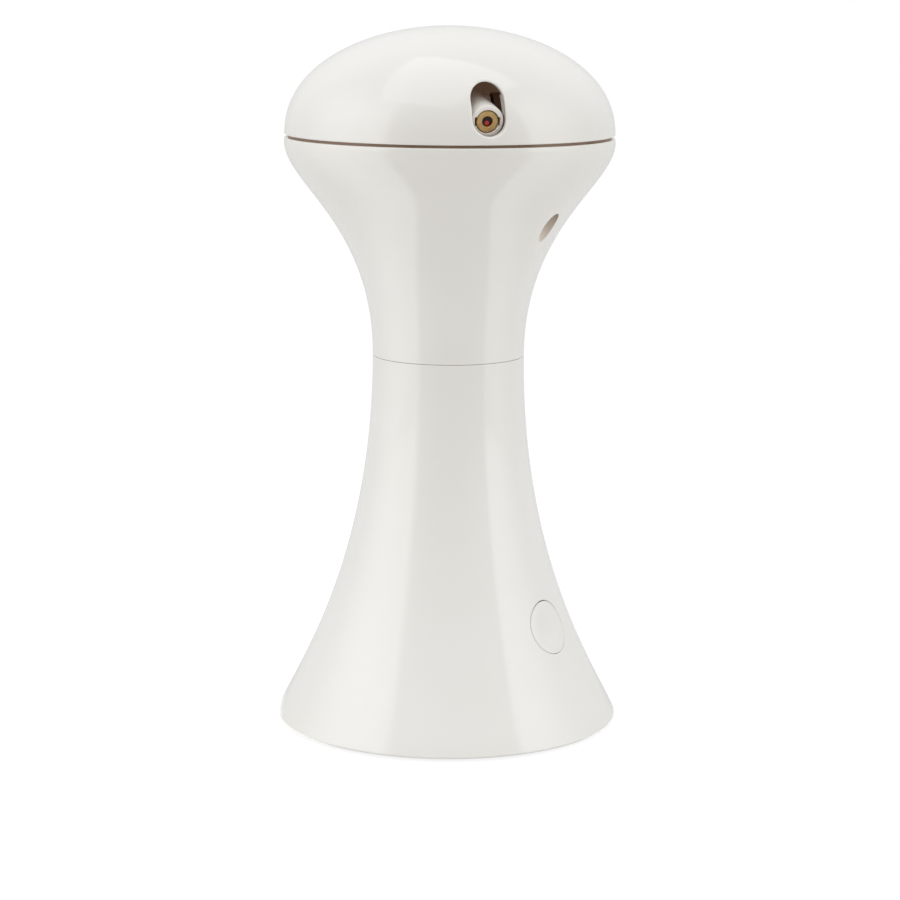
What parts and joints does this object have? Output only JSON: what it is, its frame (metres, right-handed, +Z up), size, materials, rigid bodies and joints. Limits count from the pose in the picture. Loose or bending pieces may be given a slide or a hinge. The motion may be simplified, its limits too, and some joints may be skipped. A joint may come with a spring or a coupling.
{
  "type": "automatic cat laser toy",
  "caption": "Waisted white standing toy with a turning mushroom head; two tilting laser modules look out of opposite dome slots, with a round button low on the flared base.",
  "frame": {"origin": "centre of the circle on which the four rubber feet stand, on the floor plane", "axes": "+Z up along the axis the head turns about; -Y from the axis towards the button; +X to the right of someone who faces the button"},
  "size_m": [0.116, 0.116, 0.2333],
  "materials": {
    "shell_abs": "gloss off-white moulded ABS",
    "button_abs": "gloss off-white moulded ABS",
    "barrel_abs": "satin white moulded ABS",
    "plate_abs": "satin light grey moulded ABS",
    "deck_abs": "satin dark brown moulded ABS",
    "acetal": "natural acetal",
    "module_brass": "turned brass",
    "lens": "red acrylic lens",
    "zinc_steel": "zinc-plated steel",
    "nickel": "nickel-plated steel",
    "circuit_board": "solder-masked board",
    "black_plastic": "satin black plastic",
    "black_rubber": "black moulded rubber",
    "cell_jacket": "printed film over a metal can"
  },
  "bodies": {
    "base": {"base_shell": "shell_abs", "base_plate": "plate_abs", "rubber_feet": "black_rubber", "base_screws": "zinc_steel", "battery_1": "cell_jacket", "battery_2": "cell_jacket", "battery_3": "cell_jacket", "battery_4": "cell_jacket", "battery_contacts": "nickel", "battery_springs": "nickel", "tact_switch": "nickel", "main_board": "circuit_board", "board_parts": "black_plastic", "board_screws": "zinc_steel", "gear_motor": "nickel", "motor_bracket": "plate_abs", "motor_screws": "zinc_steel", "spindle_post": "zinc_steel", "spindle_screws": "zinc_steel", "thrust_washers": "module_brass", "retaining_clip": "zinc_steel", "slip_rings": "module_brass"},
    "turning_head": {"neck_shell": "shell_abs", "head_dome": "shell_abs", "head_deck": "deck_abs", "head_screws": "zinc_steel", "hub_gear": "acetal", "hub_bush": "module_brass", "hub_screws": "zinc_steel", "brush_holder": "black_plastic", "brushes": "module_brass", "laser_board": "circuit_board", "laser_board_screws": "zinc_steel"},
    "pinion": {"motor_pinion": "acetal", "output_shaft": "zinc_steel"},
    "button": {"control_button": "button_abs", "switch_stem": "black_plastic"},
    "battery_door": {"battery_door": "plate_abs"},
    "laser_1": {"laser_1_barrel": "barrel_abs", "laser_1_module": "module_brass", "laser_1_lens": "lens", "laser_1_diode": "circuit_board", "laser_1_pivot_screws": "zinc_steel", "laser_1_washers": "black_rubber"},
    "laser_2": {"laser_2_barrel": "barrel_abs", "laser_2_module": "module_brass", "laser_2_lens": "lens", "laser_2_diode": "circuit_board", "laser_2_pivot_screws": "zinc_steel", "laser_2_washers": "black_rubber"}
  },
  "joints": [
    {"name": "head_spin", "type": "hinge", "parent": "base", "child": "turning_head", "pos_m": [0, 0, 0.1244], "axis": [0, 0, 1], "continuous": true},
    {"name": "pinion_spin", "type": "hinge", "parent": "base", "child": "pinion", "pos_m": [0.0138, 0, 0.1244], "axis": [0, 0, 1], "continuous": true},
    {"name": "laser_1_tilt", "type": "hinge", "parent": "turning_head", "child": "laser_1", "pos_m": [-0.01885, -0.02057, 0.20886], "axis": [-0.7373, 0.6756, 0], "range_deg": [0, 15]},
    {"name": "laser_2_tilt", "type": "hinge", "parent": "turning_head", "child": "laser_2", "pos_m": [0.01885, 0.02057, 0.20886], "axis": [0.7373, -0.6756, 0], "range_deg": [0, 15]},
    {"name": "button_press", "type": "slide", "parent": "base", "child": "button", "axis": [0, 0.9304, -0.3665], "range_m": [0, 0.0008], "stiffness_N_per_m": 1500, "springref_m": -0.0004},
    {"name": "door_hinge", "type": "hinge", "parent": "base", "child": "battery_door", "pos_m": [0, 0.0316, 0.0025], "axis": [1, 0, 0], "range_deg": [0, 95]}
  ],
  "couplings": [
    {"joint": "pinion_spin", "follows": "head_spin", "ratio": 4.2857}
  ]
}
